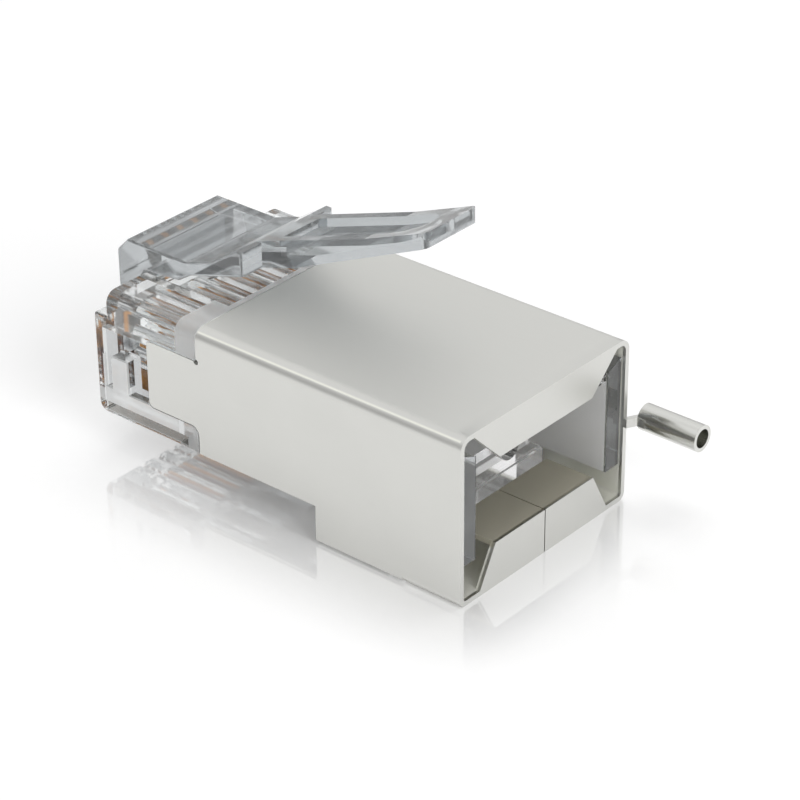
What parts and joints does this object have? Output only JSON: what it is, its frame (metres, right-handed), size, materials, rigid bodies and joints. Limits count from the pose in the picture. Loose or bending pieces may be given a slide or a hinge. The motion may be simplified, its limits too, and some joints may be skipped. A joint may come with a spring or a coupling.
{
  "type": "rj45 modular plug",
  "caption": "Shielded eight-way modular plug: clear housing with a sprung latch, folded metal shield with a ground tube, and gold-plated blade contacts.",
  "frame": {"origin": "on the plug's centre line, on the front face of the latch root, half way up the section that enters the jack", "axes": "+Y is the way the plug goes into the jack, +Z is the latch side, +X is the ground tube's side"},
  "size_m": [0.0131, 0.0261, 0.0146],
  "materials": {
    "clear_plastic": "clear moulded polycarbonate",
    "nickel_shield": "satin nickel plate",
    "gold_contact": "gold plate"
  },
  "bodies": {
    "plug": {"plug_body": "clear_plastic", "shield": "nickel_shield", "contact_1": "gold_contact", "contact_2": "gold_contact", "contact_3": "gold_contact", "contact_4": "gold_contact", "contact_5": "gold_contact", "contact_6": "gold_contact", "contact_7": "gold_contact", "contact_8": "gold_contact"},
    "latch": {"latch": "clear_plastic"}
  },
  "joints": [
    {"name": "latch_press", "type": "hinge", "parent": "plug", "child": "latch", "pos_m": [0, -0.00046, 0.00194], "axis": [1, 0, 0], "range_deg": [0, 10.5], "stiffness_Nm_per_rad": 0.1}
  ]
}
